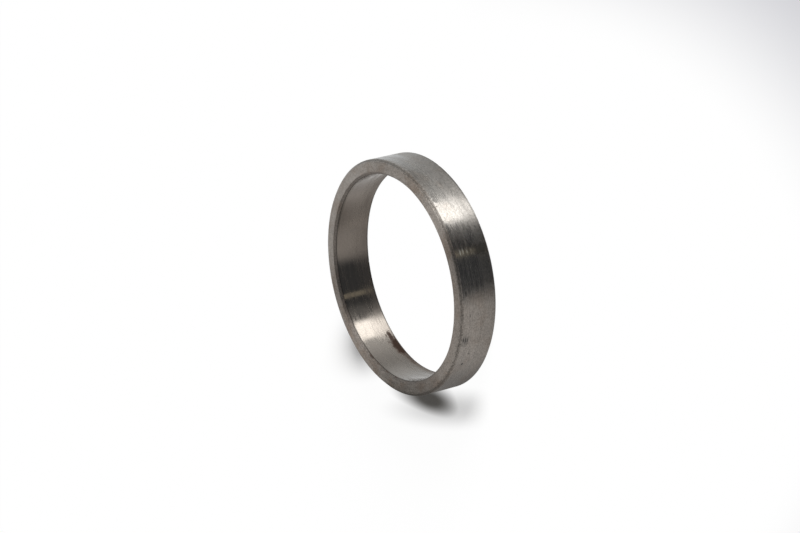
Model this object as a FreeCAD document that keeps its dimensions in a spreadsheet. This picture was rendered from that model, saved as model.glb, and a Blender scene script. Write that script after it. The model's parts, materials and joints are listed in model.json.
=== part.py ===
import FreeCAD, Part

import math
import os

import Sketcher

# Seamless rolled ring: one plain steel ring, finish-turned all over, with a 45 degree
# chamfer on each of its four edges.  It is one solid with no seam, so it is one body.
#
# Frame (millimetres): the ring lies on one end face.  The origin is the centre of that
# face, and +Z runs up along the ring's own axis.

# name of the size, value, what it is.  Each one can be changed by itself; the bore follows
# from the outside diameter and the wall.
SIZES = [
    ("outside_diameter", 80.0, "mm over the outer wall"),
    ("wall_thickness", 5.0, "mm of steel between the outer wall and the bore"),
    ("ring_width", 14.0, "mm from one end face to the other"),
    ("rim_chamfer", 0.8, "mm, leg of the 45 degree chamfers on the two outer edges"),
    ("bore_chamfer", 0.8, "mm, leg of the 45 degree chamfers on the two mouths of the bore"),
]

RING = "ring"
TOLERANCE = 1e-4

# how a sketch numbers a line's two ends, and its own origin and X axis
START, END = 1, 2
ORIGIN, X_AXIS = -1, -1


def add_sheet(doc):
    """Put the driving sizes in a spreadsheet: plain numbers, each with an alias."""
    sheet = doc.addObject("Spreadsheet::Sheet", "Sizes")
    for row, (name, value, note) in enumerate(SIZES, start=1):
        sheet.set("A%d" % row, name)
        sheet.set("B%d" % row, str(value))
        sheet.setAlias("B%d" % row, name)
        sheet.set("C%d" % row, note)
    doc.recompute()
    return sheet


def radii(sheet):
    """Radius of the outer wall and radius of the bore."""
    outside_radius = sheet.outside_diameter / 2
    return outside_radius, outside_radius - sheet.wall_thickness


def origin_plane(body, role):
    """Find one of the body's own origin planes by its role."""
    for feature in body.Origin.OriginFeatures:
        if feature.Role == role:
            return feature
    raise RuntimeError("no origin plane " + role)


def add_section(body, sheet):
    """Sketch half the ring's section, standing on the X axis and clear of the ring's axis."""
    section = body.newObject("Sketcher::SketchObject", "Section")
    section.AttachmentSupport = [(origin_plane(body, "XZ_Plane"), "")]
    section.MapMode = "FlatFace"

    outside_radius, bore_radius = radii(sheet)
    width = sheet.ring_width
    corners = [
        FreeCAD.Vector(bore_radius, 0, 0),
        FreeCAD.Vector(outside_radius, 0, 0),
        FreeCAD.Vector(outside_radius, width, 0),
        FreeCAD.Vector(bore_radius, width, 0),
    ]
    lower_face, outer_wall, upper_face, bore_wall = section.addGeometry(
        [Part.LineSegment(corners[i], corners[(i + 1) % 4]) for i in range(4)], False
    )
    for line, following in [
        (lower_face, outer_wall),
        (outer_wall, upper_face),
        (upper_face, bore_wall),
        (bore_wall, lower_face),
    ]:
        section.addConstraint(Sketcher.Constraint("Coincident", line, END, following, START))
    section.addConstraint(Sketcher.Constraint("Horizontal", upper_face))
    section.addConstraint(Sketcher.Constraint("Vertical", outer_wall))
    section.addConstraint(Sketcher.Constraint("Vertical", bore_wall))
    section.addConstraint(Sketcher.Constraint("PointOnObject", lower_face, START, X_AXIS))
    section.addConstraint(Sketcher.Constraint("PointOnObject", lower_face, END, X_AXIS))

    outside_formula = "Sizes.outside_diameter / 2"
    bore_formula = outside_formula + " - Sizes.wall_thickness"
    for name, kind, line, point, value, formula in [
        ("outside_radius", "DistanceX", lower_face, END, outside_radius, outside_formula),
        ("bore_radius", "DistanceX", lower_face, START, bore_radius, bore_formula),
        ("width", "DistanceY", upper_face, START, width, "Sizes.ring_width"),
    ]:
        distance = Sketcher.Constraint(kind, ORIGIN, START, line, point, value)
        section.renameConstraint(section.addConstraint(distance), name)
        section.setExpression("Constraints." + name, formula)
    return section


def add_ring_blank(body, section):
    """Turn the section once round the ring's axis."""
    blank = body.newObject("PartDesign::Revolution", "RingBlank")
    blank.Profile = section
    blank.ReferenceAxis = (section, ["V_Axis"])
    blank.Angle = 360
    section.Visibility = False
    return blank


def circular_edges(shape, radius):
    """Names of the circular edges of this radius, which the wall of that radius ends in."""
    names = []
    for number, edge in enumerate(shape.Edges, start=1):
        if isinstance(edge.Curve, Part.Circle) and abs(edge.Curve.Radius - radius) < TOLERANCE:
            names.append("Edge%d" % number)
    if len(names) != 2:
        raise RuntimeError("a wall should end in two circular edges, not %d" % len(names))
    return names


def add_chamfers(body, base, name, radius, alias):
    """Break the two circular edges of one wall by an equal 45 degree chamfer."""
    chamfer = body.newObject("PartDesign::Chamfer", name)
    chamfer.Base = (base, circular_edges(base.Shape, radius))
    chamfer.ChamferType = "Equal distance"
    chamfer.setExpression("Size", "Sizes." + alias)
    return chamfer


def ring_volume(outer, bore, width, rim, mouth):
    """Volume of the ring by Pappus: the plain ring, less four triangles swept round."""
    plain = math.pi * (outer**2 - bore**2) * width
    off_rim = 2 * (rim**2 / 2) * 2 * math.pi * (outer - rim / 3)
    off_bore = 2 * (mouth**2 / 2) * 2 * math.pi * (bore + mouth / 3)
    return plain - off_rim - off_bore


def check(doc, body, sheet):
    """Stop if any object failed, or if the solid is not the ring that the sizes describe."""
    for item in doc.Objects:
        if "Invalid" in item.State or "Error" in item.State:
            raise RuntimeError("failed: " + item.Name)
    shape = body.Shape
    if shape.isNull() or not shape.isValid() or len(shape.Solids) != 1:
        raise RuntimeError("the ring is not one valid solid")
    wanted = ring_volume(*radii(sheet), sheet.ring_width, sheet.rim_chamfer, sheet.bore_chamfer)
    if abs(shape.Volume - wanted) > TOLERANCE * wanted:
        raise RuntimeError("volume %.3f, wanted %.3f" % (shape.Volume, wanted))
    print("%s: %.1f mm3 in %d faces" % (body.Label, shape.Volume, len(shape.Faces)))


def main():
    doc = FreeCAD.newDocument("RolledRing")
    sheet = add_sheet(doc)

    body = doc.addObject("PartDesign::Body", "RingBody")
    body.Label = RING
    blank = add_ring_blank(body, add_section(body, sheet))
    doc.recompute()
    outside_radius, bore_radius = radii(sheet)
    rim = add_chamfers(body, blank, "RimChamfers", outside_radius, "rim_chamfer")
    doc.recompute()
    mouths = add_chamfers(body, rim, "BoreChamfers", bore_radius, "bore_chamfer")
    body.Tip = mouths
    doc.recompute()

    check(doc, body, sheet)
    os.makedirs("parts", exist_ok=True)
    body.Shape.exportStep("parts/%s.step" % RING)


main()
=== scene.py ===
"""Seamless rolled ring: the ring as it is turned and handled, its steel, and a plain pale studio.

Run as a script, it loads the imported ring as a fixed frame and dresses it.  Everything is in
metres, in the ring's own frame: the ring lies on one end face and +Z is its axis.  Angles
round the ring are in degrees from +X, the side that the camera stands on.
"""

import json
import math
import random

import bmesh
import bpy
from bpy.props import FloatProperty, FloatVectorProperty, IntProperty, PointerProperty
from bpy.types import NodeSocket, Operator, Panel, PropertyGroup
from mathutils import Euler, Matrix, Vector
from mathutils.kdtree import KDTree


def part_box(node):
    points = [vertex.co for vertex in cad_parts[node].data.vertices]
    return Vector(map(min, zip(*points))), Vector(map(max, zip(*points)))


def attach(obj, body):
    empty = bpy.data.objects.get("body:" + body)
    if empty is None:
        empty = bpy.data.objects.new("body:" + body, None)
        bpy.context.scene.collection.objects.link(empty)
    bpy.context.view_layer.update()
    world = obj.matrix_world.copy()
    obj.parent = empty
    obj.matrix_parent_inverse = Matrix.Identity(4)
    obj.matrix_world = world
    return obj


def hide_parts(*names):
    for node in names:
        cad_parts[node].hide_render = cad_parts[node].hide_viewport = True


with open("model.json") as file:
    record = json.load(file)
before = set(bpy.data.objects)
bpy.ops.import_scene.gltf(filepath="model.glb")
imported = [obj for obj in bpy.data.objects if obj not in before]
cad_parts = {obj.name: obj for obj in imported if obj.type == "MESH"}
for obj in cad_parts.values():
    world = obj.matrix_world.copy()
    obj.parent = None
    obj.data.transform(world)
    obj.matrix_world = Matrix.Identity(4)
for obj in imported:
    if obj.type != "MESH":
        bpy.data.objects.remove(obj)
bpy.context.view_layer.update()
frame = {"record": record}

bl_info = {
    "name": "Rolled ring",
    "version": (1, 0, 0),
    "blender": (4, 5, 0),
    "location": "3D View > Sidebar > Rolled ring",
    "description": "Models a turned seamless rolled ring, its steel and a plain studio round it",
    "category": "Object",
}

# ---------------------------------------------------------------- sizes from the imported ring

MM = 0.001
LOW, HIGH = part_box("ring")
DIMS = {mount["name"]: mount["dims"] for mount in frame["record"]["mounts"]}
OUTER_RADIUS = HIGH.x
RING_WIDTH = HIGH.z - LOW.z
BORE_RADIUS = DIMS["bore"]["r_mm"] * MM
RIM_CHAMFER = (RING_WIDTH - DIMS["rim"]["length_mm"] * MM) / 2
BORE_CHAMFER = (RING_WIDTH - DIMS["bore"]["length_mm"] * MM) / 2

# ---------------------------------------------------------------- how the mesh is built

ROUND_STEPS = 720        # steps of the spin, half a degree each
CORNER_SEGMENTS = 2      # rounding of each broken corner
WALL_CUTS = 11
FACE_CUTS = 3
CHAMFER_CUTS = 2
MERGE_DISTANCE = 0.001 * MM
CHAMFER_MARGIN = 1.02    # of a chamfer's leg, within which a vertex is part of the chamfer
UNEVEN_SIZE = 3.5 * MM   # of the uneven places of a chamfer
UPRIGHT, LEVEL = 0.12, 0.985    # height of the normal: less on a wall, more on an end face

# Nicks: the stretch of the rim's upper chamfer that has most of them (degrees), the depth of one
# as a share of the deepest, and how far round it the steel is pushed in (mm).
NICK_SEED = 7
HANDLED_STRETCH = (20, 80)
NICK_DEPTHS = (0.3, 1.0)
NICK_REACHES = (0.45, 0.9)


# ---------------------------------------------------------------- properties

class RingShape(PropertyGroup):
    """Sizes of the ring and of what handling did to its edges."""

    outer_radius: FloatProperty(
        name="Outer radius", description="Radius of the outer wall",
        default=OUTER_RADIUS, min=0.001, unit="LENGTH", precision=5)
    bore_radius: FloatProperty(
        name="Bore radius", description="Radius of the bore",
        default=BORE_RADIUS, min=0.001, unit="LENGTH", precision=5)
    width: FloatProperty(
        name="Width", description="From one end face to the other",
        default=RING_WIDTH, min=0.001, unit="LENGTH", precision=5)
    rim_chamfer: FloatProperty(
        name="Rim chamfer", description="Leg of the chamfers on the two outer edges",
        default=RIM_CHAMFER, min=0.0001, unit="LENGTH", precision=5)
    bore_chamfer: FloatProperty(
        name="Bore chamfer", description="Leg of the chamfers on the two mouths of the bore",
        default=BORE_CHAMFER, min=0.0001, unit="LENGTH", precision=5)
    corner_rounding: FloatProperty(
        name="Corner rounding", description="How far the corners beside a chamfer are rubbed back",
        default=0.07 * MM, min=0.00001, unit="LENGTH", precision=6)
    uneven_chamfer: FloatProperty(
        name="Uneven chamfer", description="How much deeper the chamfers are in places",
        default=0.05 * MM, min=0.0, unit="LENGTH", precision=6)
    nick_count: IntProperty(
        name="Nicks", description="Small dents along the chamfers", default=64, min=0)
    nick_depth: FloatProperty(
        name="Nick depth", description="Depth of the deepest nick",
        default=0.12 * MM, min=0.0, unit="LENGTH", precision=6)


class RingFinish(PropertyGroup):
    """Colours of the steel, of what is on it and of its painted highlights and shade, and how dull
    its outer wall is.
    """

    wall_colour: FloatVectorProperty(
        name="Outer wall", description="Turned steel of the outer wall", subtype="COLOR",
        default=(0.262, 0.236, 0.212), min=0.0, max=1.0)
    face_colour: FloatVectorProperty(
        name="End faces", description="Turned steel of the end faces", subtype="COLOR",
        default=(0.258, 0.229, 0.203), min=0.0, max=1.0)
    bore_colour: FloatVectorProperty(
        name="Bore", description="Turned steel of the bore", subtype="COLOR",
        default=(0.238, 0.205, 0.177), min=0.0, max=1.0)
    rim_chamfer_colour: FloatVectorProperty(
        name="Rim chamfers", description="Steel of the chamfers on the outer edges",
        subtype="COLOR", default=(0.262, 0.235, 0.210), min=0.0, max=1.0)
    mouth_chamfer_colour: FloatVectorProperty(
        name="Bore chamfers", description="Duller steel of the chamfers at the bore",
        subtype="COLOR", default=(0.205, 0.180, 0.160), min=0.0, max=1.0)
    tint_colour: FloatVectorProperty(
        name="Brown tint", description="Thin brown film of old oil and air on the steel",
        subtype="COLOR", default=(0.205, 0.165, 0.135), min=0.0, max=1.0)
    rust_colour: FloatVectorProperty(
        name="Rust", description="Red-brown rust", subtype="COLOR",
        default=(0.027, 0.015, 0.010), min=0.0, max=1.0)
    # Also the colour of painted shade over the highlights and on the end face.
    smudge_and_shade_colour: FloatVectorProperty(
        name="Smudges", description="Dark smudges and specks", subtype="COLOR",
        default=(0.050, 0.048, 0.046), min=0.0, max=1.0)
    # Painted highlight: a light colour laid over the steel as glints and as a lighter sheen.
    painted_highlight_colour: FloatVectorProperty(
        name="Bright patches", description="Steel that is rubbed brighter than the rest",
        subtype="COLOR", default=(0.620, 0.600, 0.570), min=0.0, max=1.0)
    roughness: FloatProperty(
        name="Roughness", description="Roughness of the outer wall", subtype="FACTOR",
        default=0.22, min=0.0, max=1.0)


class RingStudio(PropertyGroup):
    """The plain studio round the ring."""

    floor_colour: FloatVectorProperty(
        name="Floor", description="Pale floor that the ring lies on", subtype="COLOR",
        default=(0.92, 0.92, 0.92), min=0.0, max=1.0)
    key_strength: FloatProperty(
        name="Key light", description="Strength of the soft key light", default=12.7, min=0.0)
    key_softness: FloatProperty(
        name="Key softness", description="How wide the key light looks from the ring",
        default=math.radians(22), min=0.0, subtype="ANGLE")
    ambient: FloatProperty(
        name="Ambient", description="Plain light from all round, as it reaches dull surfaces",
        default=0.055, min=0.0)
    softbox: FloatProperty(
        name="Softbox", description="Brightness of the softbox that the steel shows",
        default=4.95, min=0.0)


# ---------------------------------------------------------------- small helpers for modelling

def start_clean():
    """Leave nothing selected, so that an operator acts only on what is made next."""
    bpy.ops.object.select_all(action="DESELECT")


def pick(piece, kind, wanted):
    """In edit mode, select just the vertices, edges or faces that wanted says yes to."""
    bpy.ops.mesh.select_mode(type=kind)
    bpy.ops.mesh.select_all(action="DESELECT")
    cage = bmesh.from_edit_mesh(piece.data)
    parts = {"VERT": cage.verts, "EDGE": cage.edges, "FACE": cage.faces}[kind]
    for part in parts:
        if wanted(part):
            part.select_set(True)
    cage.select_flush_mode()
    bmesh.update_edit_mesh(piece.data)


def near(value, target):
    """True if two lengths are the same as far as the mesh goes."""
    return abs(value - target) < MERGE_DISTANCE


# ---------------------------------------------------------------- the ring's mesh

def draw_section(shape):
    """Stand a plane on edge as the ring's section, and break and round its corners."""
    wall = shape.outer_radius - shape.bore_radius
    middle = shape.bore_radius + wall / 2
    bpy.ops.mesh.primitive_plane_add(
        size=1, location=(middle, 0, shape.width / 2), rotation=(math.pi / 2, 0, 0))
    ring = bpy.context.object
    ring.name = ring.data.name = "turned_ring"
    ring.scale = (wall, shape.width, 1)
    bpy.ops.object.transform_apply(location=True, rotation=True, scale=True)

    bpy.ops.object.mode_set(mode="EDIT")
    for side, leg in ((1, shape.rim_chamfer), (-1, shape.bore_chamfer)):
        pick(ring, "VERT", lambda vert: (vert.co.x - middle) * side > wall / 2 - MERGE_DISTANCE)
        bpy.ops.mesh.bevel(offset=leg, offset_type="ABSOLUTE", segments=1, affect="VERTICES")
    bpy.ops.mesh.select_all(action="SELECT")
    bpy.ops.mesh.bevel(
        offset=shape.corner_rounding, offset_type="ABSOLUTE", segments=CORNER_SEGMENTS,
        profile=0.5, affect="VERTICES")
    bpy.ops.mesh.select_all(action="SELECT")
    bpy.ops.mesh.delete(type="ONLY_FACE")
    return ring


def both_at(edge, axis, place):
    """True if both ends of an edge are at this place along an axis."""
    return all(near(vert.co[axis], place) for vert in edge.verts)


def cut_section(ring, shape):
    """Cut the section's long sides, so that nicks and uneven places have vertices to move."""
    def on_wall(edge):
        return both_at(edge, 0, shape.outer_radius) or both_at(edge, 0, shape.bore_radius)

    def on_face(edge):
        return both_at(edge, 2, 0) or both_at(edge, 2, shape.width)

    def on_chamfer(edge):
        long_enough = edge.calc_length() > shape.bore_chamfer / 2
        return long_enough and not on_wall(edge) and not on_face(edge)

    # chamfers first: the cuts make the other sides' pieces short as well
    for wanted, cuts in ((on_chamfer, CHAMFER_CUTS), (on_face, FACE_CUTS), (on_wall, WALL_CUTS)):
        pick(ring, "EDGE", wanted)
        bpy.ops.mesh.subdivide(number_cuts=cuts)


def spin_section():
    """Turn the section once round the ring's axis and close it on itself."""
    bpy.ops.mesh.select_mode(type="VERT")
    bpy.ops.mesh.select_all(action="SELECT")
    bpy.ops.mesh.spin(
        steps=ROUND_STEPS, angle=2 * math.pi, center=(0, 0, 0), axis=(0, 0, 1),
        use_auto_merge=True)
    bpy.ops.mesh.select_all(action="SELECT")
    bpy.ops.mesh.remove_doubles(threshold=MERGE_DISTANCE)
    bpy.ops.mesh.normals_make_consistent(inside=False)


def edge_circles(shape):
    """Radius and height of the eight corners of the section, and which way is out of the steel."""
    outer, bore, width = shape.outer_radius, shape.bore_radius, shape.width
    rim, mouth = shape.rim_chamfer, shape.bore_chamfer
    circles = []
    for height, end in ((width, 1), (0, -1)):
        circles.append((outer, height - end * rim, (1, 0, end)))
        circles.append((outer - rim, height, (1, 0, end)))
        circles.append((bore, height - end * mouth, (-1, 0, end)))
        circles.append((bore + mouth, height, (-1, 0, end)))
    return circles


def nick_edges(ring, shape):
    """Dent the chamfers' corners here and there, every other time where the rim is handled."""
    rng = random.Random(NICK_SEED)
    circles = edge_circles(shape)
    upper_rim = circles[:2]
    cage = bmesh.from_edit_mesh(ring.data)
    cage.verts.ensure_lookup_table()
    tree = KDTree(len(cage.verts))
    for vert in cage.verts:
        tree.insert(vert.co, vert.index)
    tree.balance()
    for number in range(shape.nick_count):
        handled = number % 2 == 0
        angle = rng.uniform(*HANDLED_STRETCH) if handled else rng.uniform(0, 360)
        radius, height, out = rng.choice(upper_rim if handled else circles)
        turn = Matrix.Rotation(math.radians(angle), 3, "Z")
        place = turn @ Vector((radius, 0, height))
        inward = turn @ -Vector(out).normalized()
        depth = shape.nick_depth * rng.uniform(*NICK_DEPTHS)
        index = tree.find(place)[1]
        pick(ring, "VERT", lambda vert: vert.index == index)
        bpy.ops.transform.translate(
            value=inward * depth, use_proportional_edit=True, use_proportional_connected=True,
            proportional_edit_falloff="SMOOTH", proportional_size=rng.uniform(*NICK_REACHES) * MM)


def wear_chamfers(ring, shape):
    """Make the chamfers a little deeper in places, as a hand-held tool leaves them."""
    def on_chamfer(vert):
        radius = vert.co.xy.length
        height = min(vert.co.z, shape.width - vert.co.z)
        rim = shape.outer_radius - radius + height < shape.rim_chamfer * CHAMFER_MARGIN
        mouth = radius - shape.bore_radius + height < shape.bore_chamfer * CHAMFER_MARGIN
        return rim or mouth

    pick(ring, "VERT", on_chamfer)
    bpy.ops.object.vertex_group_add()
    bpy.ops.object.vertex_group_assign()
    bpy.ops.object.mode_set(mode="OBJECT")
    clouds = bpy.data.textures.new("uneven_chamfer", "CLOUDS")
    clouds.noise_scale = UNEVEN_SIZE
    clouds.noise_depth = 2
    bpy.ops.object.modifier_add(type="DISPLACE")
    wear = ring.modifiers[-1]
    wear.texture = clouds
    wear.texture_coords = "LOCAL"
    wear.vertex_group = ring.vertex_groups[0].name
    wear.mid_level = 1.0
    wear.strength = shape.uneven_chamfer
    bpy.ops.object.modifier_apply(modifier=wear.name)
    ring.vertex_groups.clear()


def smooth_ring(ring):
    """Shade the ring smooth, with its flat and straight parts kept flat and straight."""
    bpy.ops.object.shade_smooth()
    bpy.ops.object.modifier_add(type="WEIGHTED_NORMAL")
    weights = ring.modifiers[-1]
    weights.weight = 100
    bpy.ops.object.modifier_apply(modifier=weights.name)


def part_of(face, shape):
    """Which part of the ring a face is on."""
    outside = face.calc_center_median().xy.length > (shape.outer_radius + shape.bore_radius) / 2
    upward = abs(face.normal.z)
    if upward > LEVEL:
        return "end face"
    if upward < UPRIGHT:
        return "outer wall" if outside else "bore"
    return "rim chamfer" if outside else "bore chamfer"


def give_finishes(ring, shape, finishes):
    """Give each face of the mesh the finish of the part of the ring that it is on."""
    bpy.ops.object.mode_set(mode="EDIT")
    for number, (part, finish) in enumerate(finishes.items()):
        ring.data.materials.append(finish)
        ring.active_material_index = number
        pick(ring, "FACE", lambda face: part_of(face, shape) == part)
        bpy.ops.object.material_slot_assign()
    bpy.ops.object.mode_set(mode="OBJECT")


# ---------------------------------------------------------------- small helpers for materials

def fill(tree, node, inputs):
    """Set a node's inputs, each to a value or to another node's output."""
    for key, value in inputs.items():
        if isinstance(value, NodeSocket):
            tree.links.new(value, node.inputs[key])
        else:
            node.inputs[key].default_value = value


def put(tree, kind, inputs=None, **settings):
    """Add a node.  An input is given by name or number, as a value or as another's output."""
    node = tree.nodes.new(kind)
    for name, value in settings.items():
        setattr(node, name, value)
    fill(tree, node, inputs or {})
    return node


def calc(tree, operation, *values):
    """A Math node's result."""
    return put(tree, "ShaderNodeMath", dict(enumerate(values)), operation=operation).outputs[0]


def ramp(tree, value, start, end, low=0.0, high=1.0):
    """Value mapped smoothly from start..end to low..high, and held there beyond them."""
    node = put(
        tree, "ShaderNodeMapRange",
        {"Value": value, "From Min": start, "From Max": end, "To Min": low, "To Max": high},
        interpolation_type="SMOOTHSTEP")
    return node.outputs["Result"]


def mix(tree, share, first, second):
    """First colour turned to the second by a share from 0 to 1."""
    node = put(tree, "ShaderNodeMix", {"Factor": share}, data_type="RGBA")
    colours = [socket for socket in node.inputs if socket.type == "RGBA"]
    for socket, value in zip(colours, (first, second)):
        if isinstance(value, NodeSocket):
            tree.links.new(value, socket)
        else:
            socket.default_value = (*value, 1.0)
    return next(socket for socket in node.outputs if socket.type == "RGBA")


def length(tree, first, second):
    """How long the line is that runs this far one way and that far square to it."""
    squares = calc(tree, "ADD", calc(tree, "MULTIPLY", first, first),
                   calc(tree, "MULTIPLY", second, second))
    return calc(tree, "SQRT", squares)


def turned_from(tree, angle, start):
    """How far one angle is turned from another, from -180 to 180 degrees."""
    return calc(tree, "WRAP", calc(tree, "SUBTRACT", angle, start), 180.0, -180.0)


def new_material(name):
    """A material with no nodes as yet, and its node tree."""
    material = bpy.data.materials.new(name)
    material.use_nodes = True
    material.node_tree.nodes.clear()
    return material, material.node_tree


def new_group(name, inputs, outputs):
    """An empty shader node group with these sockets, and its two end nodes."""
    group = bpy.data.node_groups.new(name, "ShaderNodeTree")
    for label, kind in inputs:
        group.interface.new_socket(label, in_out="INPUT", socket_type="NodeSocket" + kind)
    for label, kind in outputs:
        group.interface.new_socket(label, in_out="OUTPUT", socket_type="NodeSocket" + kind)
    start = group.nodes.new("NodeGroupInput")
    end = group.nodes.new("NodeGroupOutput")
    return group, start.outputs, end.inputs


def place_group(tree, group, values):
    """Place a node group and set its inputs by their names."""
    node = put(tree, "ShaderNodeGroup", None, node_tree=group)
    fill(tree, node, values)
    return node.outputs


# ---------------------------------------------------------------- shared effects

# A stain or painted patch is clear beyond the first and whole within the second of these shares of
# its half size.
STAIN_CLEAR, STAIN_FULL = 1.25, 0.55


def round_the_ring_group():
    """Where a point is on the ring: angle in degrees, radius and height in metres."""
    group, given, result = new_group(
        "round_the_ring", [("Position", "Vector")],
        [("Angle", "Float"), ("Radius", "Float"), ("Height", "Float"), ("Bearing", "Vector")])
    x, y, z = put(group, "ShaderNodeSeparateXYZ", {0: given["Position"]}).outputs
    radius = length(group, x, y)
    bearing = put(group, "ShaderNodeCombineXYZ",
                  {"X": calc(group, "DIVIDE", x, radius), "Y": calc(group, "DIVIDE", y, radius)})
    angle = calc(group, "DEGREES", calc(group, "ARCTAN2", y, x))
    for name, value in (("Angle", angle), ("Radius", radius), ("Height", z),
                        ("Bearing", bearing.outputs[0])):
        group.links.new(value, result[name])
    return group


def turning_marks_group(places):
    """Fine lines round the ring, as a lathe tool leaves them on walls, ends and chamfers."""
    group, given, result = new_group(
        "turning_marks",
        [("Position", "Vector"), ("Around", "Float"), ("Across", "Float"), ("Contrast", "Float")],
        [("Marks", "Float")])
    place = place_group(group, places, {"Position": given["Position"]})
    lengthwise = put(group, "ShaderNodeVectorMath",
                     {0: place["Bearing"], "Scale": given["Around"]}, operation="SCALE")
    rise = put(group, "ShaderNodeCombineXYZ",
               {"Z": calc(group, "MULTIPLY", place["Height"], given["Across"])})
    along = put(group, "ShaderNodeVectorMath",
                {0: lengthwise.outputs[0], 1: rise.outputs[0]}, operation="ADD")
    noise = put(
        group, "ShaderNodeTexNoise",
        {"Vector": along.outputs[0], "W": calc(group, "MULTIPLY", place["Radius"], given["Across"]),
         "Scale": 1.0, "Detail": 3.0, "Roughness": 0.55},
        noise_dimensions="4D")
    spread = calc(group, "MULTIPLY", calc(group, "SUBTRACT", noise.outputs[0], 0.5),
                  given["Contrast"])
    marks = put(group, "ShaderNodeMath", {0: spread, 1: 0.5}, operation="ADD", use_clamp=True)
    group.links.new(marks.outputs[0], result["Marks"])
    return group


def stain_group():
    """A ragged patch: 1 in its middle and 0 outside, by angle and by a place across the marks."""
    group, given, result = new_group(
        "stain",
        [("Angle", "Float"), ("Across", "Float"), ("At angle", "Float"), ("At across", "Float"),
         ("Half angle", "Float"), ("Half across", "Float"), ("Ragged", "Float"),
         ("Noise", "Float")],
        [("Mask", "Float")])
    turned = turned_from(group, given["Angle"], given["At angle"])
    by_angle = calc(group, "DIVIDE", turned, given["Half angle"])
    shifted = calc(group, "SUBTRACT", given["Across"], given["At across"])
    by_place = calc(group, "DIVIDE", shifted, given["Half across"])
    rough = calc(group, "MULTIPLY", calc(group, "SUBTRACT", given["Noise"], 0.5),
                 given["Ragged"])
    away = calc(group, "ADD", length(group, by_angle, by_place), rough)
    group.links.new(ramp(group, away, STAIN_CLEAR, STAIN_FULL), result["Mask"])
    return group


def corner_shade_line_group(shape, places):
    """Where painted shade goes: a thin line along one corner of both ends, 1 on it and 0 beyond its
    reach.
    """
    group, given, result = new_group(
        "corner_shade_line",
        [("Position", "Vector"), ("Radius", "Float"), ("Inset", "Float"), ("Reach", "Float")],
        [("Line", "Float")])
    place = place_group(group, places, {"Position": given["Position"]})
    half = shape.width / 2
    from_middle = calc(group, "ABSOLUTE", calc(group, "SUBTRACT", place["Height"], half))
    upward = calc(group, "ADD", calc(group, "SUBTRACT", from_middle, half), given["Inset"])
    sideways = calc(group, "SUBTRACT", place["Radius"], given["Radius"])
    away = length(group, sideways, upward)
    group.links.new(ramp(group, away, given["Reach"], 0.0), result["Line"])
    return group


class Effects:
    """The node groups that every finish of the ring uses, built once."""

    def __init__(self, shape):
        self.places = round_the_ring_group()
        self.marks = turning_marks_group(self.places)
        self.stain = stain_group()
        self.line = corner_shade_line_group(shape, self.places)


# ---------------------------------------------------------------- the steel

# Layers of turning marks: features round the ring, features to a metre across the marks, and
# contrast.
FINE_MARKS = (7.0, 2600.0, 2.6)
BROAD_MARKS = (1.6, 620.0, 2.4)
GRAIN = (55.0, 2200.0, 2.8)

# Layers of plain noise: features to a metre, how many finer layers, and how strong those are.
CLOUDS = (130.0, 3.0, 0.6)
RAGGED = (900.0, 4.0, 0.65)
SPECKS = (2600.0, 2.0, 0.5)

FILM_CLOUDS = (0.44, 0.66)             # from none to all of the brown film
SPECK_RANGE = (0.25, 0.75)             # from the darkest to the lightest speck
ROUGHNESS_CHANGE = (-0.06, 0.09)       # by the broad marks, and again by the fine ones
DULLED_HEIGHTS = (9 * MM, 1 * MM)      # from the upper end's finish to the duller lower end's
RUST_ROUGHNESS, RUST_METAL_LOSS = 0.4, 0.3
BUMP_STRENGTH, GROOVE_DEPTH = 0.25, 0.008 * MM
FINE_RELIEF, GRAIN_RELIEF = 0.6, 0.25  # how much of the depth each layer has
ANISOTROPY, QUARTER_TURN = 0.97, 0.25  # the highlights are drawn out across the marks

# Stains and painted patches of light and shade, a row each: angle, place across the marks, half
# sizes of both (degrees, mm), raggedness and strength.  Across is the height on a wall or chamfer,
# the radius on an end face.
# Dark smudges on the outer wall, and darker rows that are painted shade over its reflections.
WALL_SMUDGES_AND_SHADE = [
    (-38.0, 12.45, 1.6, 0.25, 0.5, 1.00),
    (-38.4, 11.65, 2.1, 0.24, 0.5, 1.00),
    (-38.7, 10.85, 1.5, 0.24, 0.5, 0.95),
    (-38.4, 11.80, 3.4, 1.70, 1.5, 0.32),
    (-14.8, 11.90, 1.3, 0.45, 0.8, 0.60),
    (-47.0, 9.00, 0.6, 0.30, 0.8, 0.60),
    (-53.5, 10.20, 0.9, 0.45, 0.8, 0.90),
    (-57.0, 6.50, 0.5, 0.25, 0.8, 0.55),
    (-26.0, 10.50, 0.6, 0.25, 0.8, 0.45),
    (14.5, 2.60, 0.8, 0.30, 1.0, 0.55),
    # painted shade: darker streaks that break up the highlight
    (30.0, 7.60, 6.0, 0.35, 2.0, 0.22),
    (27.0, 5.00, 7.0, 0.30, 2.0, 0.16),
    # painted shade: darker places that cut the thin bright reflection into dashes
    (4.0, 3.40, 2.8, 3.60, 1.8, 0.62),
    (4.2, 9.40, 2.4, 0.30, 1.2, 0.45),
    (4.2, 7.70, 2.4, 0.40, 1.2, 0.45),
    # painted shade: darker places that trim the highlight's top and dim its far half
    (31.5, 2.20, 2.8, 2.40, 0.8, 0.24),
    (27.5, 6.90, 4.0, 0.32, 1.2, 0.20),
    (26.5, 3.70, 4.5, 0.60, 2.0, 0.14),
    (45.0, 0.95, 36.0, 0.40, 0.8, 0.40),
]

# Painted highlight: small bright streaks that stand in for the steel's reflection of a thin bright
# strip.
WALL_PAINTED_GLINTS = [
    (4.4, 11.20, 1.5, 0.34, 1.0, 0.85),
    (4.7, 10.10, 1.6, 0.30, 1.0, 0.75),
    (4.3, 8.60, 1.1, 0.30, 1.2, 0.50),
    (4.6, 6.90, 0.9, 0.26, 1.2, 0.30),
]

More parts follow.
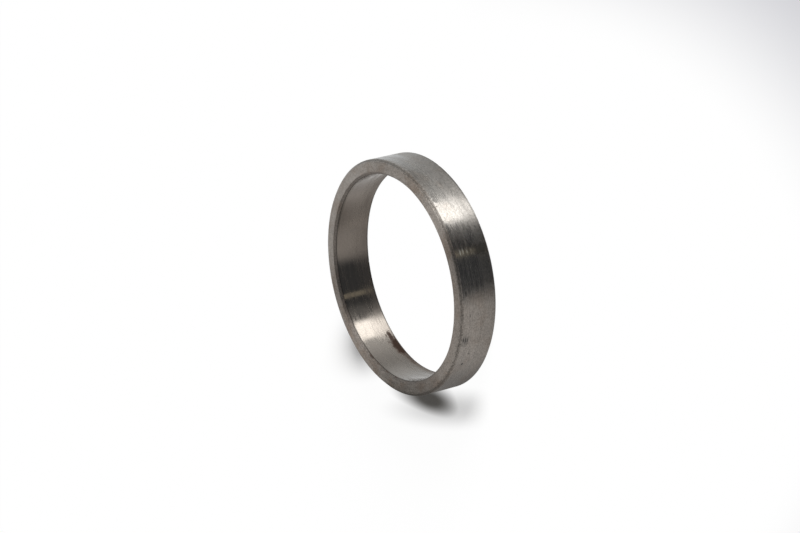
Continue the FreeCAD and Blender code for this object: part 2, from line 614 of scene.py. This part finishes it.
# Broad, faint patches: on the end face a lighter painted sheen and a darker painted shade, and one
# darker patch in the bore.
FACE_PAINTED_SHEEN = [(130.0, 37.5, 46.0, 5.0, 0.6, 0.14)]
FACE_PAINTED_SHADE = [(-150.0, 37.5, 24.0, 5.0, 1.0, 0.10)]
BORE_DARK_PATCH = [(153.0, 7.00, 9.0, 9.00, 0.5, 0.22)]

# Rust along the lower edge of the bore, and in spots at its upper mouth.
BORE_RUST = [
    (-138.0, 1.70, 9.0, 2.30, 0.9, 1.00),
    (-127.0, 1.20, 10.0, 1.50, 1.4, 0.72),
    (-113.0, 1.00, 18.0, 1.30, 1.6, 0.38),
    (-146.0, 2.20, 4.5, 1.00, 1.6, 0.95),
    (-147.5, 3.60, 1.3, 0.32, 2.0, 0.70),
    (-143.0, 4.10, 1.0, 0.30, 2.0, 0.60),
]
MOUTH_RUST = [
    (-137.0, 13.30, 2.5, 0.35, 2.0, 0.80),
    (-130.0, 13.25, 1.6, 0.30, 2.0, 0.60),
    (-121.0, 13.30, 2.0, 0.30, 2.0, 0.70),
    (-112.0, 13.30, 1.4, 0.28, 2.0, 0.70),
]


class Surface:
    """What varies over one finish of the ring, each as an output of a node in its tree."""

    def __init__(self, tree, effects, across):
        self.tree = tree
        self.effects = effects
        self.position = put(tree, "ShaderNodeTexCoord").outputs["Object"]
        self.place = place_group(tree, effects.places, {"Position": self.position})
        self.across = self.place[across]
        self.fine = self.marks(*FINE_MARKS)
        self.broad = self.marks(*BROAD_MARKS)
        self.grain = self.marks(*GRAIN)
        self.clouds = self.noise(*CLOUDS)
        self.ragged = self.noise(*RAGGED)
        self.specks = self.noise(*SPECKS)

    def marks(self, around, across, contrast):
        """One layer of turning marks."""
        return place_group(self.tree, self.effects.marks, {
            "Position": self.position, "Around": around, "Across": across, "Contrast": contrast,
        })["Marks"]

    def noise(self, scale, detail, roughness):
        """One layer of plain noise."""
        return put(self.tree, "ShaderNodeTexNoise", {
            "Vector": self.position, "Scale": scale, "Detail": detail, "Roughness": roughness,
        }).outputs[0]

    def line(self, radius, inset, reach):
        """A line of painted shade along one corner of both ends."""
        return place_group(self.tree, self.effects.line, {
            "Position": self.position, "Radius": radius, "Inset": inset, "Reach": reach,
        })["Line"]

    def stains(self, rows):
        """The strongest of these stains and painted patches at each point, or None where there are
        none.
        """
        strongest = None
        for angle, middle, half_angle, half_across, ragged, strength in rows:
            mask = place_group(self.tree, self.effects.stain, {
                "Angle": self.place["Angle"], "Across": self.across, "At angle": angle,
                "At across": middle * MM, "Half angle": half_angle,
                "Half across": half_across * MM, "Ragged": ragged, "Noise": self.ragged,
            })["Mask"]
            mask = calc(self.tree, "MULTIPLY", mask, strength)
            if strongest is None:
                strongest = mask
            else:
                strongest = calc(self.tree, "MAXIMUM", strongest, mask)
        return strongest


def steel_shade(tree, surface, marks_shade, grain, speckle, lines):
    """How much lighter or darker than plain the marks, specks and painted shade along corners make
    the steel.
    """
    shade = 0.0
    for layer, span, amount in (
            (surface.fine, (0, 1), marks_shade / 2), (surface.broad, (0, 1), marks_shade / 2),
            (surface.grain, (0, 1), grain / 2), (surface.specks, SPECK_RANGE, speckle)):
        shade = calc(tree, "ADD", shade, ramp(tree, layer, *span, -amount, amount))
    shade = calc(tree, "ADD", 1.0, shade)
    # painted shade: darker lines along the corners
    for radius, inset, reach, strength in lines:
        darker = calc(tree, "MULTIPLY", surface.line(radius, inset, reach), strength)
        shade = calc(tree, "MULTIPLY", shade, calc(tree, "SUBTRACT", 1.0, darker))
    return shade


def steel_roughness(tree, surface, roughness, far_dulling, rusty):
    """Roughness that changes with the marks, towards the lower end and on rust."""
    for layer in (surface.broad, surface.fine):
        roughness = calc(tree, "ADD", roughness, ramp(tree, layer, 0, 1, *ROUGHNESS_CHANGE))
    if far_dulling:
        dulled = ramp(tree, surface.place["Height"], *DULLED_HEIGHTS, 0.0, far_dulling)
        roughness = calc(tree, "ADD", roughness, dulled)
    if rusty is not None:
        roughness = calc(tree, "ADD", roughness, calc(tree, "MULTIPLY", rusty, RUST_ROUGHNESS))
    return roughness


def steel_normal(tree, surface, marks_depth):
    """The normal of steel that is grooved along its marks."""
    height = calc(tree, "ADD", calc(tree, "MULTIPLY", surface.fine, FINE_RELIEF),
                  calc(tree, "MULTIPLY", surface.grain, GRAIN_RELIEF))
    return put(tree, "ShaderNodeBump", {
        "Strength": BUMP_STRENGTH, "Distance": GROOVE_DEPTH * marks_depth, "Height": height,
    }).outputs[0]


def steel(name, effects, finish, colour, roughness, across="Height", smudges_and_shade=(), bright=(),
          rust=(), marks_depth=1.0, marks_shade=0.24, grain=0.20, speckle=0.16, tint=0.35,
          far_dulling=0.0, lines=()):
    """One finish of the ring: turned steel with marks, a brown tint, stains, rust, and painted
    highlights and shade.

    Smudge and shade rows, bright rows and rust rows are stains: the bright ones are painted
    highlights, and lines are painted dark lines along corners.
    """
    material, tree = new_material(name)
    surface = Surface(tree, effects, across)
    film = calc(tree, "MULTIPLY", ramp(tree, surface.clouds, *FILM_CLOUDS), tint)
    base = mix(tree, film, tuple(colour), tuple(finish.tint_colour))
    shade = steel_shade(tree, surface, marks_shade, grain, speckle, lines)
    base = put(tree, "ShaderNodeVectorMath", {0: base, "Scale": shade},
               operation="SCALE").outputs[0]

    rusty = surface.stains(rust)
    # Stains, painted highlights, painted shade and rust are laid over the steel's colour.
    for mask, stain_colour in (
            (surface.stains(bright), finish.painted_highlight_colour),
            (surface.stains(smudges_and_shade), finish.smudge_and_shade_colour), (rusty, finish.rust_colour)):
        if mask is not None:
            base = mix(tree, mask, base, tuple(stain_colour))
    metallic = 1.0
    if rusty is not None:
        metallic = calc(tree, "SUBTRACT", 1.0, calc(tree, "MULTIPLY", rusty, RUST_METAL_LOSS))

    tangent = put(tree, "ShaderNodeVectorMath", {0: (0.0, 0.0, 1.0), 1: surface.position},
                  operation="CROSS_PRODUCT").outputs[0]
    shader = put(tree, "ShaderNodeBsdfPrincipled", {
        "Base Color": base, "Metallic": metallic,
        "Roughness": steel_roughness(tree, surface, roughness, far_dulling, rusty),
        "Anisotropic": ANISOTROPY, "Anisotropic Rotation": QUARTER_TURN, "Tangent": tangent,
        "Normal": steel_normal(tree, surface, marks_depth),
    })
    put(tree, "ShaderNodeOutputMaterial", {"Surface": shader.outputs[0]})
    return material


def ring_finishes(shape, finish):
    """The finish of each part of the ring."""
    effects = Effects(shape)
    # painted shade, dark lines along corners: radius, height in from the end face, reach and
    # strength
    bore_corner_shade = (shape.bore_radius, shape.bore_chamfer, 0.34 * MM, 0.58)
    rim_chamfer_shade = (shape.outer_radius - shape.rim_chamfer / 2, shape.rim_chamfer / 2,
                  0.45 * MM, 0.30)
    return {
        "outer wall": steel(
            "turned_outer_wall", effects, finish, finish.wall_colour,
            roughness=finish.roughness, smudges_and_shade=WALL_SMUDGES_AND_SHADE, bright=WALL_PAINTED_GLINTS,
            grain=0.34, far_dulling=0.16),
        "end face": steel(
            "turned_end_face", effects, finish, finish.face_colour,
            roughness=0.42, across="Radius", smudges_and_shade=FACE_PAINTED_SHADE, bright=FACE_PAINTED_SHEEN,
            grain=0.26, speckle=0.26, tint=0.9),
        "bore": steel(
            "turned_bore", effects, finish, finish.bore_colour,
            roughness=0.15, smudges_and_shade=BORE_DARK_PATCH, rust=BORE_RUST, marks_depth=0.5,
            marks_shade=0.12, grain=0.08, speckle=0.05, tint=0.12, far_dulling=0.18,
            lines=[bore_corner_shade]),
        "rim chamfer": steel(
            "rim_chamfer", effects, finish, finish.rim_chamfer_colour,
            roughness=0.46, marks_depth=2.0, grain=0.40, speckle=0.34, tint=0.6,
            lines=[rim_chamfer_shade]),
        "bore chamfer": steel(
            "bore_chamfer", effects, finish, finish.mouth_chamfer_colour,
            roughness=0.48, rust=MOUTH_RUST, marks_depth=1.5, grain=0.30, speckle=0.20,
            tint=0.5, lines=[bore_corner_shade]),
    }


class ROLLED_RING_OT_turn(Operator):
    """Model the turned ring, with its chamfers, nicks and steel"""

    bl_idname = "rolled_ring.turn"
    bl_label = "Turned ring"

    def execute(self, context):
        shape = context.scene.ring_shape
        start_clean()
        ring = draw_section(shape)
        cut_section(ring, shape)
        spin_section()
        nick_edges(ring, shape)
        wear_chamfers(ring, shape)
        smooth_ring(ring)
        give_finishes(ring, shape, ring_finishes(shape, context.scene.ring_finish))
        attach(ring, "root")
        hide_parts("ring")
        return {"FINISHED"}


# ---------------------------------------------------------------- the studio

# Where the camera stands: on the +X side, and turned about its own line of sight.  Angles are in
# degrees, lengths in metres, the lens and its sensor in millimetres.
CAMERA_ELEVATION = 31.43
CAMERA_ROLL = 103.57
CAMERA_DISTANCE = 0.876
CAMERA_SIDE_STEP = (-3.08 * MM, 2.56 * MM)
CAMERA_LENS, CAMERA_SENSOR = 118.8, 36
CAMERA_CLIP_START = 0.01

# Where the key light comes from (degrees), and the colour of the plain light from all round.
KEY_AZIMUTH, KEY_ELEVATION = 50.0, 15.0
AMBIENT_COLOUR = (1.0, 0.93, 0.82)

FLOOR_SIZE = 6
FLOOR_DROP = 0.02 * MM   # how far the floor is below the ring

# How much of the floor's white is its own glow: all of it but where soft shadows should show.
FLOOR_GLOW = 0.98
# Each shadow place: its middle (mm), how far it is turned from X (degrees), how many times it
# is longer than wide, how far out it is whole and how far it reaches (mm), and how much of the
# floor's glow it takes away.
SHADOW_PLACES = [
    ((-18, -42.7), -15, 3.3, 5, 28, 0.97),
    ((-6, -47.2), -4, 6.0, 4, 50, 0.40),
    ((-56, -20), 0, 3.1, 0, 46, 0.72),
]

# Painted shade: the floor's glow darkens a little towards one side, as light falling off would: (x,
# y) to measure from, stretch of y, and from and to which distance (mm).
EDGE_FROM, EDGE_STRETCH, EDGE_START, EDGE_END = (40, -25), 1.6, 148, 225
EDGE_SHADE_COLOUR = (0.60, 0.60, 0.635)

# The dark patch that the steel shows on the side it would stand on: how far it is from the rim,
# out to where it is whole and where it is clear, and how much faster it clears above the ring.
CONTACT_AZIMUTH = -114.7
CONTACT_GAP = 0.3 * MM
CONTACT_CORE, CONTACT_REACH = 4 * MM, 48 * MM
CONTACT_TOP_FADE = 2.0
CONTACT_DARKNESS = 0.90
CONTACT_COLOUR = (0.10, 0.095, 0.09)

TENT_RADIUS = 2.5
TENT_SEGMENTS, TENT_RINGS = 96, 48
TENT_FADE = 24.0         # degrees over which the top and bottom of a panel fade
ALL_ROUND, ALL_UP = (-200, 200, 1, 1), (-200, 200)
NEUTRAL, COOL = (1.0, 1.0, 1.0), (0.91, 0.965, 1.0)
OLIVE, BLUISH, DAYLIGHT = (1.0, 0.975, 0.83), (0.86, 0.95, 1.05), (0.93, 0.975, 1.0)

# Panels of the light tent, as the steel shows them: azimuth from and to and how soft each of
# those two sides is, elevation from and to (all in degrees), brightness and colour.
TENT_PANELS = [
    ("far wall", (150, 205, 40, 30), ALL_UP, 1.04, NEUTRAL),
    ("low wall", (-160, -118, 30, 16), (-200, 10), 0.70, NEUTRAL),
    ("right wall", (-118, -43, 16, 20), ALL_UP, 0.84, NEUTRAL),
    ("flag", (-36, 33, 24, 8), ALL_UP, 0.125, BLUISH),
    ("slit", (5.0, 10.0, 1.0, 1.0), (-200, 10), 0.53, OLIVE),
    ("beside the softbox", (22, 41, 14, 3), (-200, 25), 0.40, COOL),
    ("left wall", (61, 160, 0.5, 40), ALL_UP, 1.02, COOL),
    ("left glow", (61, 76, 0.5, 26), ALL_UP, 1.45, COOL),
    ("left shade", (92, 112, 26, 26), (-200, 10), 0.72, COOL),
    ("left ceiling", (38, 128, 20, 40), (26, 200), 1.60, NEUTRAL),
    ("dark room below", ALL_ROUND, (-200, -56), 0.30, NEUTRAL),
]
# The softbox is one more of them, but its brightness is a value of the studio.
SOFTBOX = ((38.5, 61, 6, 1), (-60, 25))


def panel_share(tree, azimuth, elevation, across, up):
    """How much of a panel shows in a direction: 1 on it, and softly down to 0 beside it."""
    start, end, soft_start, soft_end = across
    bottom, top = up
    middle, half = (start + end) / 2, (end - start) / 2
    offset = turned_from(tree, azimuth, middle)
    share = calc(tree, "MULTIPLY",
                 ramp(tree, offset, -half - soft_start / 2, -half + soft_start / 2),
                 ramp(tree, offset, half + soft_end / 2, half - soft_end / 2))
    fade = TENT_FADE / 2
    if top < 90:
        share = calc(tree, "MULTIPLY", share, ramp(tree, elevation, top + fade, top - fade))
    if bottom > -90:
        share = calc(tree, "MULTIPLY", share, ramp(tree, elevation, bottom - fade, bottom + fade))
    return share


def tent_material(studio):
    """The light tent's glow by direction: a pale tent with panels that are brighter or darker."""
    material, tree = new_material("light_tent")
    position = put(tree, "ShaderNodeTexCoord").outputs["Object"]
    x, y, z = put(tree, "ShaderNodeSeparateXYZ", {0: position}).outputs
    azimuth = calc(tree, "DEGREES", calc(tree, "ARCTAN2", y, x))
    elevation = calc(tree, "DEGREES", calc(tree, "ARCSINE", calc(tree, "DIVIDE", z, TENT_RADIUS)))
    glow = NEUTRAL
    panels = [*TENT_PANELS, ("softbox", *SOFTBOX, studio.softbox, DAYLIGHT)]
    for _, across, up, brightness, colour in panels:
        share = panel_share(tree, azimuth, elevation, across, up)
        glow = mix(tree, share, glow, tuple(brightness * part for part in colour))
    emission = put(tree, "ShaderNodeEmission", {"Color": glow, "Strength": 1.0})
    put(tree, "ShaderNodeOutputMaterial", {"Surface": emission.outputs[0]})
    material.cycles.emission_sampling = "NONE"
    return material


def only_in_reflections(piece):
    """Show a piece of the studio in the steel's reflections and nowhere else."""
    piece.visible_camera = piece.visible_diffuse = piece.visible_shadow = False
    piece.visible_transmission = piece.visible_volume_scatter = False


def contact_shade_material(shape):
    """Dark in the middle, by the rim, and clear towards its edges."""
    material, tree = new_material("contact_shade")
    position = put(tree, "ShaderNodeTexCoord").outputs["Object"]
    up, along, _ = put(tree, "ShaderNodeSeparateXYZ", {0: position}).outputs
    below = calc(tree, "SUBTRACT", up, shape.width / 2)
    above = calc(tree, "MULTIPLY", CONTACT_TOP_FADE,
                 calc(tree, "SUBTRACT", -shape.width / 2, up))
    beyond = calc(tree, "MAXIMUM", 0.0, calc(tree, "MAXIMUM", below, above))
    away = length(tree, beyond, along)
    share = ramp(tree, away, CONTACT_REACH, CONTACT_CORE, 0.0, CONTACT_DARKNESS)
    clear = put(tree, "ShaderNodeBsdfTransparent").outputs[0]
    dark = put(tree, "ShaderNodeEmission", {"Color": (*CONTACT_COLOUR, 1.0)}).outputs[0]
    blend = put(tree, "ShaderNodeMixShader", {0: share, 1: clear, 2: dark})
    put(tree, "ShaderNodeOutputMaterial", {"Surface": blend.outputs[0]})
    material.cycles.emission_sampling = "NONE"
    return material


def add_contact_shade(shape):
    """A soft dark patch close under one side of the rim, as a table that it stands near shows."""
    start_clean()
    out = shape.outer_radius + CONTACT_GAP
    turn = math.radians(CONTACT_AZIMUTH)
    bpy.ops.mesh.primitive_plane_add(
        size=2 * CONTACT_REACH, rotation=(0, math.pi / 2, turn),
        location=(out * math.cos(turn), out * math.sin(turn), shape.width / 2))
    patch = bpy.context.object
    patch.name = "contact_shade"
    patch.data.materials.append(contact_shade_material(shape))
    only_in_reflections(patch)


def add_tent(studio):
    """A round tent that only the steel's reflections show."""
    start_clean()
    bpy.ops.mesh.primitive_uv_sphere_add(
        segments=TENT_SEGMENTS, ring_count=TENT_RINGS, radius=TENT_RADIUS)
    tent = bpy.context.object
    tent.name = "light_tent"
    bpy.ops.object.mode_set(mode="EDIT")
    bpy.ops.mesh.select_all(action="SELECT")
    bpy.ops.mesh.normals_make_consistent(inside=True)
    bpy.ops.object.mode_set(mode="OBJECT")
    tent.data.materials.append(tent_material(studio))
    only_in_reflections(tent)


def floor_material(studio):
    """A matt pale floor, most of which glows, so that its shadows are soft and few; its glow has
    painted shade, darker towards one side.
    """
    material, tree = new_material("pale_floor")
    place = put(tree, "ShaderNodeTexCoord").outputs["Object"]
    x, y, _ = put(tree, "ShaderNodeSeparateXYZ", {0: place}).outputs

    def distance(centre, stretch=1.0, turn=0.0):
        """Distance from a place (mm), measured along a line turned from X and aside of it.

        What is aside of the line counts as many times as the stretch says.
        """
        cos, sin = math.cos(math.radians(turn)), math.sin(math.radians(turn))
        from_x = calc(tree, "SUBTRACT", x, centre[0] * MM)
        from_y = calc(tree, "SUBTRACT", y, centre[1] * MM)
        along = calc(tree, "ADD", calc(tree, "MULTIPLY", from_x, cos),
                     calc(tree, "MULTIPLY", from_y, sin))
        aside = calc(tree, "SUBTRACT", calc(tree, "MULTIPLY", from_y, cos * stretch),
                     calc(tree, "MULTIPLY", from_x, sin * stretch))
        return length(tree, along, aside)

    glow = 1.0
    for centre, turn, stretch, core, reach, taken in SHADOW_PLACES:
        lit = ramp(tree, distance(centre, stretch, turn), core * MM, reach * MM,
                   FLOOR_GLOW * (1 - taken), FLOOR_GLOW)
        glow = calc(tree, "MINIMUM", glow, lit)
    # inside the ring the floor is all glow, however near a shadow place is
    inside = ramp(tree, distance((0, 0)), OUTER_RADIUS, BORE_RADIUS, 0.0, 1.0)
    glow = calc(tree, "MAXIMUM", glow, inside)

    # painted shade: the glow turns grey towards one side
    shaded_side = ramp(tree, distance(EDGE_FROM, EDGE_STRETCH), EDGE_START * MM, EDGE_END * MM)
    right = ramp(tree, x, EDGE_FROM[0] * MM, EDGE_START * MM)
    tone = mix(tree, calc(tree, "MULTIPLY", shaded_side, right), (1.0, 1.0, 1.0), EDGE_SHADE_COLOUR)
    matt = put(tree, "ShaderNodeBsdfDiffuse", {"Color": (*studio.floor_colour, 1.0)})
    white = put(tree, "ShaderNodeEmission", {"Color": tone, "Strength": 1.0})
    path = put(tree, "ShaderNodeLightPath")
    share = calc(tree, "MULTIPLY", path.outputs["Is Camera Ray"], glow)
    blend = put(tree, "ShaderNodeMixShader", {0: share, 1: matt.outputs[0], 2: white.outputs[0]})
    put(tree, "ShaderNodeOutputMaterial", {"Surface": blend.outputs[0]})
    material.cycles.emission_sampling = "NONE"
    return material


def add_floor(studio):
    """The floor, just under the ring."""
    start_clean()
    bpy.ops.mesh.primitive_plane_add(size=FLOOR_SIZE, location=(0, 0, -FLOOR_DROP))
    floor = bpy.context.object
    floor.name = "pale_floor"
    bpy.ops.object.transform_apply(location=True)
    floor.data.materials.append(floor_material(studio))
    floor.visible_glossy = False


def add_key_light(studio):
    """One soft key light from far away, as strong all over the floor and unseen in the steel."""
    lamp = bpy.data.lights.new("key_light", "SUN")
    lamp.energy = studio.key_strength
    lamp.angle = studio.key_softness
    key = bpy.data.objects.new("key_light", lamp)
    bpy.context.scene.collection.objects.link(key)
    tilt = math.radians(90 - KEY_ELEVATION)
    key.rotation_euler = Euler((0, tilt, math.radians(KEY_AZIMUTH)))
    key.visible_glossy = False


def set_world(studio):
    """White to the camera and in reflections, and a plain level of light for dull surfaces."""
    world = bpy.data.worlds.new("studio")
    bpy.context.scene.world = world
    world.use_nodes = True
    tree = world.node_tree
    tree.nodes.clear()
    path = put(tree, "ShaderNodeLightPath").outputs
    seen = calc(tree, "MAXIMUM", path["Is Camera Ray"], path["Is Glossy Ray"])
    seen = calc(tree, "MAXIMUM", seen, path["Is Transmission Ray"])
    strength = put(tree, "ShaderNodeMapRange",
                   {"Value": seen, "To Min": studio.ambient, "To Max": 1.0}).outputs[0]
    colour = mix(tree, seen, AMBIENT_COLOUR, NEUTRAL)
    background = put(tree, "ShaderNodeBackground", {"Color": colour, "Strength": strength})
    put(tree, "ShaderNodeOutputWorld", {"Surface": background.outputs[0]})


def add_camera(shape):
    """The camera, looking down at the ring's face from the side and turned on its own axis."""
    tilt, roll = math.radians(CAMERA_ELEVATION), math.radians(CAMERA_ROLL)
    back = Vector((math.cos(tilt), 0, math.sin(tilt)))
    level, up = Vector((0, 1, 0)), Vector((-math.sin(tilt), 0, math.cos(tilt)))
    across = level * math.cos(roll) - up * math.sin(roll)
    rise = level * math.sin(roll) + up * math.cos(roll)
    centre = Vector((0, 0, shape.width / 2))
    step_across, step_up = CAMERA_SIDE_STEP
    place = centre + back * CAMERA_DISTANCE + across * step_across + rise * step_up
    turn = Matrix((across, rise, back)).transposed()
    camera = bpy.data.objects.new("camera", bpy.data.cameras.new("camera"))
    camera.data.lens = CAMERA_LENS
    camera.data.sensor_width = CAMERA_SENSOR
    camera.data.clip_start = CAMERA_CLIP_START
    camera.matrix_world = Matrix.Translation(place) @ turn.to_4x4()
    bpy.context.scene.collection.objects.link(camera)
    bpy.context.scene.camera = camera


class ROLLED_RING_OT_studio(Operator):
    """Add the pale floor, the light tent, the key light, the world and the camera"""

    bl_idname = "rolled_ring.studio"
    bl_label = "Studio"

    def execute(self, context):
        studio = context.scene.ring_studio
        add_floor(studio)
        add_tent(studio)
        add_contact_shade(context.scene.ring_shape)
        add_key_light(studio)
        set_world(studio)
        add_camera(context.scene.ring_shape)
        context.scene.view_settings.view_transform = "Standard"
        return {"FINISHED"}


# ---------------------------------------------------------------- panel and registration

class ROLLED_RING_PT_panel(Panel):
    """Lists what can be made and the values that it is made with"""

    bl_idname = "ROLLED_RING_PT_panel"
    bl_label = "Rolled ring"
    bl_space_type = "VIEW_3D"
    bl_region_type = "UI"
    bl_category = "Rolled ring"

    def draw(self, context):
        layout = self.layout
        for values in (context.scene.ring_shape, context.scene.ring_finish,
                       context.scene.ring_studio):
            box = layout.box()
            for name in values.__annotations__:
                box.prop(values, name)
        layout.operator(ROLLED_RING_OT_turn.bl_idname)
        layout.operator(ROLLED_RING_OT_studio.bl_idname)


CLASSES = (RingShape, RingFinish, RingStudio, ROLLED_RING_OT_turn, ROLLED_RING_OT_studio,
           ROLLED_RING_PT_panel)


def register():
    """Make the values, the operators and the panel known."""
    for item in CLASSES:
        bpy.utils.register_class(item)
    bpy.types.Scene.ring_shape = PointerProperty(type=RingShape)
    bpy.types.Scene.ring_finish = PointerProperty(type=RingFinish)
    bpy.types.Scene.ring_studio = PointerProperty(type=RingStudio)


def unregister():
    """Take them away again."""
    for name in ("ring_shape", "ring_finish", "ring_studio"):
        delattr(bpy.types.Scene, name)
    for item in reversed(CLASSES):
        bpy.utils.unregister_class(item)


def main():
    """Make the ring and its studio."""
    register()
    bpy.ops.rolled_ring.turn()
    bpy.ops.rolled_ring.studio()


if __name__ == "__main__":
    main()
